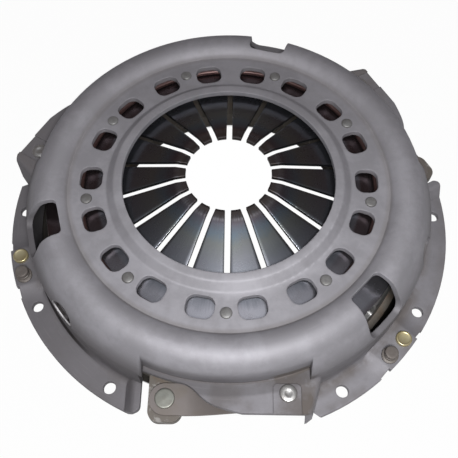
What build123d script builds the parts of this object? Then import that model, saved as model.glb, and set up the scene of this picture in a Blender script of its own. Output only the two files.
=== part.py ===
from build123d import *
import math
import os

# Clutch cover assembly with a diaphragm spring. Millimetres. The origin is the centre of the
# bolt circle on the underside of the cover's flange, and +Z points to the gearbox. In each
# third of the cover, x runs along the axis of its strap tab and y across it.

# Pressed cover: its rings step in from the bolt circle, its levels down from the face
sheet = 4.2
sector_angles = (30, 150, 270)
bolt_circle_r = 157.0
flange_r = bolt_circle_r + 8.7
wall_r = bolt_circle_r - 10.8
shoulder_r = wall_r - 20.9
lip_foot_r = shoulder_r - 39.1
hole_r = lip_foot_r - 11.5
face_z = 53.5
lip_z = face_z + 5.5
lip_round = 2.6
shoulder_z = face_z - 6.8
shoulder_round = 13.6
cone_angle = 60
wall_round = 7.0
base_round = 5.0
skin_floor = -6.0

# Strap tab, with a straight front edge and a slanted high side, and the set-in wall over it
tab_z = 31.5
tab_edge_d = wall_r + 11.4
tab_low = -54.0
web_lean = 16.5
web_top, web_foot = 96.8, 98.9
web_round = 4.5
set_in_low, set_in_high = -53.0, 54.0
coin_t = 30.2
coin_long = 18.0
coin_in = 6.3
coin_depth = 1.2
coin_round = 3.0

# Wedge cut out of the foot of the tab's high side, leaning outwards
relief_apex = (150.6, 58.4)
relief_low = (161.0, 52.5)
relief_high = (160.0, 72.0)
relief_lean = 22.6

# Gap for the plate's lug, and the raised ear beyond it
ear_z = 13.2
ear_t = -55.8
ear_top_t, ear_foot_t = -61.6, -67.2
ear_round = 4.5
ear_fillet = 3.0
gap_step = 2.9
gap_over = 1.8
tab_start = ((157.6, 11.0), (155.0, 0.0), (148.7, -13.9), (142.0, -21.4), (138.0, -29.0))

# Raised rivet pads, access openings, slots
pad_angle = 47.8
pad_rise = 3.6
pad_flat = 15.0
pad_foot = 23.4
pad_round = 5.0
notch_depth = 2.3
opening_angle = 46.7
opening_half = 6.4
opening_in_r = shoulder_r - 5.8
opening_z = face_z - 17.5
opening_round = 3.5
opening_low_round = 7.0
slot_angle = 71.5
slot_half = 10.8
slot_low_z, slot_high_z = face_z - 24.5, face_z - 9.0

# Holes
bolt_hole_d = 8.6
dowel_hole_d = 8.0
bolt_angles = (-30, 30)
dowel_angle = 60
window_count = 18
window_r = lip_foot_r + 11.05
window_radial = 16.0
window_wide = 19.0
window_bulge = 0.7
window_round = 6.2

# Diaphragm spring
spring_t = 3.0
spring_r = shoulder_r + 5.7
tip_r = 30.0
finger_count = 18
finger_bend_r = lip_foot_r - 2.2
disc_slope = 9.5
finger_slope = 14.2
slot_wide = 4.0
slot_end_radial = 9.0
slot_end_wide = 10.0
slot_end_round = 3.0

# Fulcrum rings and rivets
wire_d = 4.0
fulcrum_rivet_count = 9
fulcrum_rivet_r = window_r + 2.95
fulcrum_rivet_first = 30
fulcrum_shank_d = 6.0
fulcrum_head_d = 8.0
fulcrum_head_h = 1.8
fulcrum_foot_d = 14.0
fulcrum_foot_h = 3.0
rivet_play = 0.1

# Pressure plate
plate_z = 2.0
plate_r = wall_r - 8.7
plate_bore_r = plate_r - 50.5
plate_body_in_z = 16.0
plate_body_z = 19.0
plate_rim_z = 9.2
land_out_r = spring_r + 1.8
land_in_r = land_out_r - 7.4
land_play = 0.05
land_vent_count = 12
land_vent_first = 15.0
land_vent_wide = 16.0
land_vent_z = plate_body_z + 8
lug_half = 11.3
lug_z = 9.6
lug_under_z = 2.6
lug_round = 7.5

# Drive straps
leaf_t = 0.9
leaves = 3
leaf_wide = 21.0
strap_d = wall_r - 1.4
strap_half = 39.9
strap_flat = 13.0

# Strap rivets
strap_shank_d = 8.0
lug_head_d = 13.2
lug_head_h = 2.2
lug_sink_d = 13.0
lug_sink_h = 2.6
tab_head_d = 11.4
tab_head_h = 2.5
tab_dimple_d = 4.4
tab_dimple_h = 0.9

# Rivets on the raised pads
pad_rivet_r = bolt_circle_r + 1.4
pad_rivet_angle = 2.9
pad_shank_d = 6.0
zinc_head_d = 11.0
zinc_head_h = 3.0
zinc_foot_d = 9.6
zinc_foot_h = 2.2
boss_d = 11.4
boss_top_d = 9.2
boss_step_h = 3.0
boss_h = 8.6
boss_groove = 0.5
boss_groove_h = 0.8

# Sizes that follow from the ones above
tab_under_z = tab_z - sheet
face_under_z = face_z - sheet
set_in_r = shoulder_r + shoulder_round
lug_d = strap_d + 14.4
slot_end_r = fulcrum_rivet_r - 0.7
pad_z = sheet + pad_rise
disc_drop = spring_t / math.cos(math.radians(disc_slope))
ring_r = fulcrum_rivet_r + fulcrum_shank_d / 2 + rivet_play + wire_d / 2
upper_ring_z = face_under_z - wire_d / 2
spring_face_z = upper_ring_z - wire_d / 2 / math.cos(math.radians(disc_slope))
lower_ring_z = spring_face_z - disc_drop - wire_d / 2 / math.cos(math.radians(disc_slope))
foot_top_z = lower_ring_z - wire_d / 2
pack_t = leaf_t * leaves
strap_drop = tab_under_z - pack_t - lug_z
pitch = 360 / window_count


def spring_top(r):
    """Height of the spring's upper face at radius r: a flat cone, steeper along the fingers."""
    outer = spring_face_z + (ring_r - max(r, finger_bend_r)) * math.tan(math.radians(disc_slope))
    inner = max(finger_bend_r - r, 0) * math.tan(math.radians(finger_slope))
    return outer + inner


def spin(part, angles):
    return [Rot(0, 0, a) * part for a in angles]


def ring_angles(count, first=0):
    return [first + 360 / count * k for k in range(count)]


def thirds(angle=0):
    return [a + angle for a in sector_angles]


def soften(face, corner, radius):
    """Round the corner of a flat section nearest to a point."""
    return fillet(face.vertices().sort_by_distance((corner[0], corner[1], 0))[0], radius)


def turned(section):
    return revolve(Plane.XZ * section, Axis.Z)


def across(section, start, end):
    """Extrude a (y, z) section along x from start to end."""
    return extrude(Plane.YZ.offset(start) * section, end - start)


def drum(d, z0, z1):
    return Pos(0, 0, z0) * Cylinder(d / 2, z1 - z0, align=(Align.CENTER, Align.CENTER, Align.MIN))


# Pressed cover: one skin function gives the outer surface at inset 0 and the inner surface at
# inset of one sheet, and the pressing is the difference.

def bowl_section(inset, rim):
    face = face_z - inset
    roll = shoulder_round - inset
    tilt = math.radians(90 - cone_angle)
    valley_r = shoulder_r - math.sqrt(roll**2 - (face - shoulder_z) ** 2)
    mitre = inset * math.tan(math.radians(22.5))
    foot_r = lip_foot_r - mitre
    knee_r = foot_r - (lip_z - face_z)
    crest = (shoulder_r, shoulder_z + roll)
    leave = (shoulder_r + roll * math.cos(tilt), shoulder_z + roll * math.sin(tilt))
    wall = wall_r - inset
    corner_z = leave[1] - (wall - leave[0]) * math.tan(math.radians(cone_angle))
    base = sheet - inset
    path = Polyline((0, skin_floor), (0, lip_z - inset), (knee_r, lip_z - inset), (foot_r, face), (valley_r, face))
    path += ThreePointArc((valley_r, face), crest, leave)
    path += Polyline(leave, (wall, corner_z), (wall, base), (rim, base), (rim, skin_floor), (0, skin_floor))
    section = make_face(path)
    section = soften(section, (wall, base), base_round + inset)
    section = soften(section, (wall, corner_z), wall_round - inset)
    section = soften(section, (foot_r, face), lip_round + inset * 0.5)
    return soften(section, (knee_r, lip_z - inset), lip_round)


def set_in_section(inset, floor):
    """The air outside the upright wall over a strap tab."""
    roll = shoulder_round - inset
    tilt = math.radians(90 - cone_angle)
    leave = (shoulder_r + roll * math.cos(tilt), shoulder_z + roll * math.sin(tilt))
    middle = (shoulder_r + roll * math.cos(tilt / 2), shoulder_z + roll * math.sin(tilt / 2))
    upright = set_in_r - inset
    outside = flange_r + 12
    above = lip_z + 20
    path = ThreePointArc(leave, middle, (upright, shoulder_z))
    path += Polyline((upright, shoulder_z), (upright, floor), (outside, floor), (outside, above), (leave[0], above), leave)
    return make_face(path)


def ridge_section(low_foot, low_top, high_top, high_foot, foot_z, top_z, top_round, inset):
    """A raised step across a flat strip, with mitred ramps."""
    rise = top_z - foot_z
    low = inset * math.tan(math.atan2(rise, low_top - low_foot) / 2)
    high = inset * math.tan(math.atan2(rise, high_foot - high_top) / 2)
    feet = [(low_foot + low, foot_z - inset), (high_foot - high, foot_z - inset)]
    tops = [(low_top + low, top_z - inset), (high_top - high, top_z - inset)]
    points = [(feet[0][0], skin_floor), feet[0], tops[0], tops[1], feet[1], (feet[1][0], skin_floor)]
    section = make_face(Polyline(*points, close=True))
    for top in tops:
        section = soften(section, top, max(top_round - inset, 0.8))
    return section


def skin(inset, set_in_floor, rim):
    body = turned(bowl_section(inset, rim))
    side_low, side_high = set_in_low - inset, set_in_high + inset
    corner = (Align.MIN, Align.MIN, Align.MIN)
    sector = Pos(lip_foot_r, side_low, 0) * Box(flange_r, side_high - side_low, 2 * lip_z, align=corner)
    set_in = turned(set_in_section(inset, set_in_floor)) & sector
    tab = ridge_section(-90, -80, web_top, web_foot, sheet, tab_z, web_round, inset)
    tab_block = Rot(0, 0, -web_lean) * across(tab, lip_foot_r, rim)
    tab_block &= Pos(0, tab_low + inset, skin_floor) * Box(2 * flange_r, flange_r, 2 * lip_z, align=corner)
    ear = ridge_section(ear_foot_t, ear_top_t, -42, -38, sheet, ear_z, ear_round, inset)
    ear_block = across(ear, opening_in_r, rim - 2)
    pad = ridge_section(-pad_foot, -pad_flat, pad_flat, pad_foot, sheet, pad_z, pad_round, inset)
    pad_block = across(pad, wall_r - 16, rim - 2)
    body = body - spin(set_in, thirds())
    return body + spin(tab_block, thirds()) + spin(ear_block, thirds()) + spin(pad_block, thirds(pad_angle))


def lug_gap():
    """The gap for a plate lug, outside the wall's foot: from the ear to the curved start of the tab."""
    out = flange_r + 10
    rim_d = math.sqrt(flange_r**2 - ear_t**2)
    past_d = math.sqrt(flange_r**2 - ear_foot_t**2)
    first, last = tab_start[0], tab_start[-1]
    path = Polyline((opening_in_r, last[1]), (opening_in_r, ear_t), (rim_d, ear_t), (past_d, ear_foot_t),
                    (out, ear_foot_t), (out, first[1]), first)
    path += Spline(*tab_start, tangents=((-0.2, -1), (-0.5, -1)))
    path += Line(last, (opening_in_r, last[1]))
    outline = soften(make_face(path), (rim_d, ear_t), ear_round) - Circle(set_in_r + gap_step)
    top_z = tab_z + gap_over
    gap = extrude(Pos(0, 0, skin_floor - 1) * outline, top_z - skin_floor + 1)
    ear_edge = gap.edges().filter_by(Axis.X).group_by(Axis.Z)[-1].sort_by(Axis.Y)[0]
    return fillet(ear_edge, ear_fillet)


def web_relief():
    """The wedge at the foot of the tab's high side; it leans outwards as it rises."""
    lean = math.tan(math.radians(relief_lean))
    wedge = make_face(Polyline(relief_apex, relief_low, relief_high, close=True))
    rise = tab_z - sheet - skin_floor
    foot = Pos((skin_floor - sheet) * lean, 0, skin_floor) * wedge
    return extrude(foot, rise * math.hypot(1, lean), dir=(lean, 0, 1))


def access_opening():
    reach = flange_r
    half = reach * math.tan(math.radians(opening_half))
    wedge = make_face(Polyline((0, 0), (reach, -half), (reach, half), close=True))
    wedge -= Rectangle(2 * opening_in_r, flange_r)
    tool = extrude(Pos(0, 0, opening_z) * wedge, lip_z - opening_z + 10)
    low = tool.edges().group_by(Axis.Z)[0].filter_by(lambda e: abs(e.tangent_at(0).X) > 0.9)
    tool = fillet(low, opening_low_round)
    inner = tool.edges().filter_by(Axis.Z).group_by(Axis.X)[0]
    return fillet(inner, opening_round)


def wall_slot():
    middle = (slot_low_z + slot_high_z) / 2
    lens = Pos(0, middle) * Ellipse(slot_half, (slot_high_z - slot_low_z) / 2)
    return across(lens, wall_r - 18, flange_r)


def window_tool(height):
    half_r, half_t = window_radial / 2, window_wide / 2
    inner, outer = -half_r + window_bulge, half_r - window_bulge
    path = ThreePointArc((inner, -half_t), (-half_r, 0), (inner, half_t))
    path += Line((inner, half_t), (outer, half_t))
    path += ThreePointArc((outer, half_t), (half_r, 0), (outer, -half_t))
    path += Line((outer, -half_t), (inner, -half_t))
    hole = fillet(make_face(path).vertices(), window_round)
    return Pos(window_r, 0, face_z - height / 2) * extrude(hole, height)


def make_cover():
    shell = skin(0, tab_z - 8, flange_r + 8) - skin(sheet, tab_under_z - 0.3, flange_r + 10)
    shell = shell & drum(2 * flange_r, skin_floor, lip_z + 20)
    edge = Pos(tab_edge_d, 0, skin_floor) * Box(flange_r, flange_r, lip_z, align=(Align.MIN, Align.CENTER, Align.MIN))
    notch = Pos(flange_r - notch_depth, 0, skin_floor) * Box(
        20, pad_foot - pad_flat, 30, align=(Align.MIN, Align.MIN, Align.MIN))
    notches = [Pos(0, pad_flat, 0) * notch, Pos(0, -pad_foot, 0) * notch]
    cuts = [drum(2 * hole_r, face_z - 30, lip_z + 20)]
    cuts += spin(edge, thirds()) + spin(lug_gap(), thirds()) + spin(web_relief(), thirds())
    for one in notches:
        cuts += spin(one, thirds(pad_angle))
    cuts += spin(access_opening(), thirds(opening_angle)) + spin(wall_slot(), thirds(slot_angle))
    cuts += spin(window_tool(3 * sheet), ring_angles(window_count))
    bolt = Pos(bolt_circle_r, 0, 0) * drum(bolt_hole_d, skin_floor, 12)
    for angle in bolt_angles:
        cuts += spin(bolt, thirds(angle))
    dowel = Pos(bolt_circle_r, 0, 0) * drum(dowel_hole_d, skin_floor, 12)
    cuts += spin(dowel, thirds(dowel_angle))
    fulcrum = Pos(fulcrum_rivet_r, 0, 0) * drum(fulcrum_shank_d + 2 * rivet_play, face_under_z - 3, face_z + 3)
    cuts += spin(fulcrum, ring_angles(fulcrum_rivet_count, fulcrum_rivet_first))
    pad_hole = Pos(pad_rivet_r, 0, 0) * drum(pad_shank_d + 2 * rivet_play, skin_floor, 14)
    for side in (-1, 1):
        cuts += spin(pad_hole, thirds(pad_angle + side * pad_rivet_angle))
    strap_hole = Pos(strap_d, strap_half, 0) * drum(strap_shank_d + 2 * rivet_play, tab_under_z - 3, tab_z + 3)
    cuts += spin(strap_hole, thirds())
    coin = Pos(strap_d - coin_in, coin_t, tab_z - coin_depth) * Box(
        40, coin_long, 3, align=(Align.MIN, Align.MIN, Align.MIN))
    cuts += spin(fillet(coin.edges().filter_by(Axis.Z).group_by(Axis.X)[0], coin_round), thirds())
    return shell - cuts


def make_spring():
    stations = (tip_r, finger_bend_r, spring_r)
    top = [(r, spring_top(r)) for r in stations]
    under = [(r, z - disc_drop) for r, z in reversed(top)]
    disc = turned(make_face(Polyline(*top, *under, close=True)))
    gap = Pos(tip_r - 10, 0, 20) * Box(slot_end_r - tip_r + 10, slot_wide, 60, align=(Align.MIN, Align.CENTER, Align.MIN))
    end = Pos(slot_end_r, 0, 20) * extrude(
        RectangleRounded(slot_end_radial, slot_end_wide, slot_end_round), 60)
    keyhole = gap + end
    return disc - spin(keyhole, ring_angles(finger_count, pitch / 2))


def make_wire_ring(z):
    return Pos(0, 0, z) * Torus(ring_r, wire_d / 2)


def make_fulcrum_rivets():
    foot = drum(fulcrum_foot_d, foot_top_z - fulcrum_foot_h, foot_top_z)
    foot = chamfer(foot.edges().group_by(Axis.Z)[0], 1.0)
    head = drum(fulcrum_head_d, face_z, face_z + fulcrum_head_h)
    head = fillet(head.edges().group_by(Axis.Z)[-1], 0.8)
    rivet = foot + drum(fulcrum_shank_d, foot_top_z - 1, face_z + 1) + head
    placed = Pos(fulcrum_rivet_r, 0, 0) * rivet
    return spin(placed, ring_angles(fulcrum_rivet_count, fulcrum_rivet_first))


def make_plate():
    round_r = (land_out_r - land_in_r) / 2
    crest_r = land_in_r + round_r
    lean = math.radians(disc_slope)
    touch_z = spring_top(crest_r + round_r * math.sin(lean)) - disc_drop - land_play
    crest_z = touch_z - round_r * math.cos(lean)
    path = Polyline((land_in_r, crest_z), (land_in_r, plate_body_z + 4), (land_in_r - 3, plate_body_z),
                    (plate_bore_r + 6, plate_body_in_z + 1), (plate_bore_r, plate_body_in_z), (plate_bore_r, plate_z),
                    (plate_r, plate_z), (plate_r, plate_rim_z), (land_out_r, plate_rim_z), (land_out_r, crest_z))
    path += ThreePointArc((land_out_r, crest_z), (crest_r, crest_z + round_r), (land_in_r, crest_z))
    section = make_face(path)
    plate = turned(section)
    vent = Pos(land_in_r - 5, 0, land_vent_z) * Box(
        land_out_r - land_in_r + 10, land_vent_wide, 20, align=(Align.MIN, Align.CENTER, Align.MIN))
    vent = fillet(vent.edges().filter_by(Axis.X).group_by(Axis.Z)[0], 4.0)
    lug_in = plate_bore_r + 25
    lug = Pos(lug_in, -strap_half, lug_under_z) * Box(
        lug_d - lug_in, 2 * lug_half, lug_z - lug_under_z, align=(Align.MIN, Align.CENTER, Align.MIN))
    lug = fillet(lug.edges().filter_by(Axis.Z).group_by(Axis.X)[-1], lug_round)
    hole = Pos(strap_d, -strap_half, 0) * drum(strap_shank_d + 2 * rivet_play, 0, 20)
    sink = Pos(strap_d, -strap_half, 0) * drum(lug_sink_d + 2 * rivet_play, 0, lug_under_z + lug_sink_h)
    plate = plate - spin(vent, ring_angles(land_vent_count, land_vent_first))
    plate = plate + spin(lug, thirds())
    return plate - spin(hole, thirds()) - spin(sink, thirds())


def make_leaf(level, angle):
    """One leaf: flat under both rivets, and stepped down to the lug between them."""
    top = tab_under_z - leaf_t * level
    end = strap_half + leaf_wide / 2 + 1
    knee = strap_half - strap_flat
    upper = [(end, top), (knee, top), (-knee, top - strap_drop), (-end, top - strap_drop)]
    lower = [(y, z - leaf_t) for y, z in reversed(upper)]
    strip = across(make_face(Polyline(*upper, *lower, close=True)), strap_d - leaf_wide, strap_d + leaf_wide)
    outline = Pos(strap_d, 0, 0) * extrude(Rot(0, 0, 90) * SlotCenterToCenter(2 * strap_half, leaf_wide), 60)
    leaf = strip & outline
    for side in (-1, 1):
        leaf -= Pos(strap_d, side * strap_half, 0) * drum(strap_shank_d + 2 * rivet_play, 0, 40)
    return Rot(0, 0, angle) * leaf


def make_lug_rivet(angle):
    pack_top = lug_z + pack_t
    head = drum(lug_head_d, pack_top, pack_top + lug_head_h)
    head = fillet(head.edges().group_by(Axis.Z)[-1], 0.5)
    sink_top = lug_under_z + lug_sink_h
    foot = drum(lug_sink_d, lug_under_z + 0.4, sink_top)
    shank = drum(strap_shank_d, sink_top - 1, pack_top + 1)
    return Rot(0, 0, angle) * Pos(strap_d, -strap_half, 0) * (head + foot + shank)


def make_tab_rivet(angle):
    seat = tab_z - coin_depth
    pack_under = tab_under_z - pack_t
    head = drum(tab_head_d, seat, seat + tab_head_h)
    head = fillet(head.edges().group_by(Axis.Z)[-1], 1.0)
    head -= drum(tab_dimple_d, seat + tab_head_h - tab_dimple_h, seat + 10)
    foot = drum(tab_head_d, pack_under - tab_head_h, pack_under)
    foot = fillet(foot.edges().group_by(Axis.Z)[0], 1.0)
    shank = drum(strap_shank_d, pack_under - 1, seat + tab_head_h - tab_dimple_h - 0.1)
    return Rot(0, 0, angle) * Pos(strap_d, strap_half, 0) * (head + foot + shank)


def make_zinc_rivet(angle):
    head = drum(zinc_head_d, pad_z, pad_z + zinc_head_h)
    head = fillet(head.edges().group_by(Axis.Z)[-1], 0.9)
    foot = drum(zinc_foot_d, pad_rise - zinc_foot_h, pad_rise)
    shank = drum(pad_shank_d, pad_rise - 1, pad_z + 1)
    return Rot(0, 0, angle) * Pos(pad_rivet_r, 0, 0) * (head + foot + shank)


def make_boss_rivet(angle):
    """The stepped balance rivet: two stacked bands, each under a groove, and a smaller top."""
    band_top = pad_z + boss_step_h
    base = drum(boss_d, pad_z, band_top)
    neck = drum(boss_top_d, band_top - 1, pad_z + boss_h)
    neck = fillet(neck.edges().group_by(Axis.Z)[-1], 0.7)
    boss = base + neck
    for z, d in ((pad_z + boss_step_h / 2, boss_d), (band_top + (boss_h - boss_step_h) / 3, boss_top_d)):
        boss -= drum(d + 2, z, z + boss_groove_h) - drum(d - 2 * boss_groove, z - 1, z + 2)
    foot = drum(zinc_foot_d, pad_rise - zinc_foot_h, pad_rise)
    shank = drum(pad_shank_d, pad_rise - 1, pad_z + 1)
    return Rot(0, 0, angle) * Pos(pad_rivet_r, 0, 0) * (boss + foot + shank)


def save(name, shape):
    solids = list(shape) if isinstance(shape, list) else [shape]
    out = solids[0] if len(solids) == 1 else Compound(children=solids)
    out.label = name
    export_step(out, os.path.join("parts", name + ".step"))


def main():
    os.makedirs("parts", exist_ok=True)
    save("cover", make_cover())
    save("diaphragm_spring", make_spring())
    save("fulcrum_ring_upper", make_wire_ring(upper_ring_z))
    save("fulcrum_ring_lower", make_wire_ring(lower_ring_z))
    save("fulcrum_rivets", make_fulcrum_rivets())
    save("pressure_plate", make_plate())
    boss_side = {30: -1, 150: 1, 270: -1}
    for number, angle in enumerate(sector_angles, 1):
        for level in range(leaves):
            save(f"strap_{number}_leaf_{level + 1}", make_leaf(level, angle))
        save(f"lug_rivet_{number}", make_lug_rivet(angle))
        save(f"tab_rivet_{number}", make_tab_rivet(angle))
        side = boss_side[angle] * pad_rivet_angle
        save(f"balance_weight_{number}", make_boss_rivet(angle + pad_angle + side))
        save(f"balance_rivet_{number}", make_zinc_rivet(angle + pad_angle - side))


main()
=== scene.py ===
import math

import bmesh
import bpy
from bpy.props import FloatProperty, FloatVectorProperty, IntProperty, PointerProperty
from bpy.types import Operator, Panel, PropertyGroup
from mathutils import Matrix, Vector


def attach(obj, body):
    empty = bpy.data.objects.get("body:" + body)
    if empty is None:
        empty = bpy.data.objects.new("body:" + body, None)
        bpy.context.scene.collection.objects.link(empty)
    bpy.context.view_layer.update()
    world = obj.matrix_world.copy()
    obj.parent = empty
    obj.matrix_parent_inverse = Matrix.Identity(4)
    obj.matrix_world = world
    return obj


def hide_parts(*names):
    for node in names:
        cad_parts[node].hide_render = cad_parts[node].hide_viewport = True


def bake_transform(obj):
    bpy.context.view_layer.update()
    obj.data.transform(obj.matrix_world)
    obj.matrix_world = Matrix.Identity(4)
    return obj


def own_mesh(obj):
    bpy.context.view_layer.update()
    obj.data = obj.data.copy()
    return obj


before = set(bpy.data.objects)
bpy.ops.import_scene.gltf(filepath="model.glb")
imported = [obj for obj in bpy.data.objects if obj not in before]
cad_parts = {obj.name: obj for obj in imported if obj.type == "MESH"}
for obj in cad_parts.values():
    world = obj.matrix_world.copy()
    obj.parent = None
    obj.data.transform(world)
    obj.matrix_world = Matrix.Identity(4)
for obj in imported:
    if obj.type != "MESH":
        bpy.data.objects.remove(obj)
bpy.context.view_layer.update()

bl_info = {
    "name": "Clutch Pressure Plate",
    "version": (1, 0, 0),
    "blender": (4, 5, 0),
    "location": "3D View > Sidebar > Clutch",
    "description": "Dresses a diaphragm-spring clutch cover assembly and sets up its studio",
    "category": "Object",
}

MM = 0.001
COVER = "cover"
PLATE = "pressure_plate"

# Degrees: the strap tabs, from a tab to the middle of a raised pad, and from there to a rivet of its pair
SECTORS = (30, 150, 270)
PAD_TURN = 47.8
PAIR_TURN = 2.9


# Sizes and colours that a user would change

def length(name, description, millimetres):
    return FloatProperty(name=name, description=description, default=millimetres * MM,
                         unit="LENGTH", subtype="DISTANCE", precision=5)


def turn(name, description, degrees):
    return FloatProperty(name=name, description=description, default=math.radians(degrees),
                         unit="ROTATION", subtype="ANGLE")


def colour(name, description, red, green, blue):
    return FloatVectorProperty(name=name, description=description, default=(red, green, blue),
                               subtype="COLOR", min=0, max=1, size=3)


class SpringSizes(PropertyGroup):
    thickness: length("Thickness", "Thickness of the diaphragm spring", 3.0)
    tip_radius: length("Tip radius", "Radius of the circle of finger tips", 30.0)
    bend_radius: length("Bend radius", "Radius where the fingers leave the disc's slope", 84.0)
    rim_radius: length("Rim radius", "Outer radius of the spring", 131.0)
    fulcrum_radius: length("Fulcrum radius", "Radius at which the disc's height is set", 105.3)
    fulcrum_height: length("Fulcrum height", "Height of the upper face at the fulcrum", 45.27)
    disc_slope: turn("Disc slope", "Cone angle of the disc", 9.5)
    finger_slope: turn("Finger slope", "Cone angle of the fingers", 16.1)
    tip_bend: length("Tip bend", "Radius where the fingers bend flat for the bearing", 37.5)
    tip_slope: turn("Tip slope", "Cone angle of the flattened tips", 2.0)
    slot_width: length("Slot width", "Width of the slot between two fingers", 4.0)
    hole_near: length("Slot end, near", "Radius where the slot starts to widen", 95.0)
    hole_far: length("Slot end, far", "Radius where the slot ends", 104.0)
    hole_half: length("Slot end half width", "Half the width of the slot's end", 5.0)
    hole_round: length("Slot end corner", "Corner radius of the slot's end", 3.0)
    fingers: IntProperty(name="Fingers", description="Number of fingers", default=18, min=6, max=24)
    edge: length("Edge", "Width of the bright edge along the slots", 0.35)


class RivetSizes(PropertyGroup):
    fulcrum_circle: length("Fulcrum circle", "Radius of the circle of fulcrum rivets", 100.2)
    fulcrum_count: IntProperty(name="Fulcrum rivets", description="Number of fulcrum rivets",
                               default=9, min=3, max=18)
    pad_circle: length("Pad circle", "Radius of the rivets on the raised pads", 158.4)
    strap_distance: length("Strap line", "Distance of the straps' centre line from the axis", 144.8)
    strap_half: length("Strap rivet offset", "Distance of a strap rivet from the middle of its strap", 39.9)


class StrapSizes(PropertyGroup):
    leaf: length("Leaf", "Thickness of one leaf", 0.9)
    width: length("Width", "Width of the leaves", 21.0)
    tab_under: length("Tab underside", "Height of the tab's underside", 27.3)
    tab_seat: length("Tab seat", "Height of the coined seat under the rivet's head", 30.3)
    lug_top: length("Lug top", "Height of the lug's seat", 9.6)
    flat: length("Flat", "Length of the flat either side of a rivet", 13.0)


class Finishes(PropertyGroup):
    cover: colour("Cover", "Phosphated steel of the cover", 0.325, 0.320, 0.345)
    cover_dark: colour("Cover, dark", "Cloudy darker patches on the cover", 0.275, 0.270, 0.290)
    grime: colour("Grime", "Dried oil in the corners of the cover", 0.105, 0.088, 0.074)
    spring: colour("Spring", "Plain steel of the fingers", 0.165, 0.172, 0.192)
    spring_dark: colour("Spring, dark", "Steel of the disc", 0.300, 0.298, 0.325)
    straw: colour("Straw", "Warm heat tint near the tips", 0.180, 0.150, 0.138)
    blue: colour("Blue", "Cold heat tint next to it", 0.140, 0.175, 0.205)
    iron: colour("Iron", "As-cast iron", 0.130, 0.115, 0.100)
    machined: colour("Machined iron", "Turned faces of the plate", 0.340, 0.335, 0.330)
    strap: colour("Strap", "Rolled steel of the straps", 0.168, 0.149, 0.142)
    fulcrum_head: colour("Fulcrum rivet", "Heads of the fulcrum rivets", 0.215, 0.214, 0.212)
    fulcrum_head_dark: colour("Fulcrum rivet, dark", "Patches on the fulcrum rivets", 0.108, 0.104, 0.100)
    tab_head: colour("Tab rivet", "Bright heads at the strap tabs", 0.40, 0.395, 0.385)
    tab_head_dark: colour("Tab rivet, dark", "Patches on the tab rivets", 0.24, 0.23, 0.22)
    lug_head: colour("Lug rivet", "Heads at the plate's lugs", 0.235, 0.240, 0.215)
    lug_head_dark: colour("Lug rivet, dark", "Patches on the lug rivets", 0.15, 0.145, 0.125)
    zinc: colour("Yellow zinc", "Yellow passivated rivets", 0.545, 0.485, 0.300)
    zinc_dark: colour("Yellow zinc, dark", "Patches on the yellow rivets", 0.40, 0.33, 0.16)
    stepped: colour("Dark rivet", "Unplated balance rivets", 0.160, 0.145, 0.133)
    stepped_dark: colour("Dark rivet, dark", "Patches on the unplated rivets", 0.105, 0.088, 0.080)
    floor: colour("Floor", "Studio floor", 0.52, 0.52, 0.52)


# Shader maths

def add_node(tree, kind, named=None, output=0, **settings):
    """Adds a node with its settings and inputs, each a socket or a value, and gives one of its outputs."""
    made = tree.nodes.new(kind)
    for key, value in settings.items():
        setattr(made, key, value)
    for key, value in (named or {}).items():
        if isinstance(value, bpy.types.NodeSocket):
            tree.links.new(value, made.inputs[key])
        else:
            made.inputs[key].default_value = value
    return made.outputs[output]


def set_stops(ramp, stops):
    """Gives a colour ramp its stops, each a position and a shade."""
    while len(ramp.elements) < len(stops):
        ramp.elements.new(1.0)
    for element, (position, shade) in zip(ramp.elements, stops):
        element.position = position
        element.color = (*shade, 1.0)


class Signal:
    """One socket of a shader, with the operators that masks need."""

    def __init__(self, finish, socket):
        self.finish = finish
        self.socket = socket

    def __add__(self, other):
        return self.finish.maths("ADD", self, other)

    def __radd__(self, other):
        return self.finish.maths("ADD", other, self)

    def __sub__(self, other):
        return self.finish.maths("SUBTRACT", self, other)

    def __rsub__(self, other):
        return self.finish.maths("SUBTRACT", other, self)

    def __mul__(self, other):
        return self.finish.maths("MULTIPLY", self, other)

    def __pow__(self, other):
        return self.finish.maths("POWER", self, other)


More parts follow.
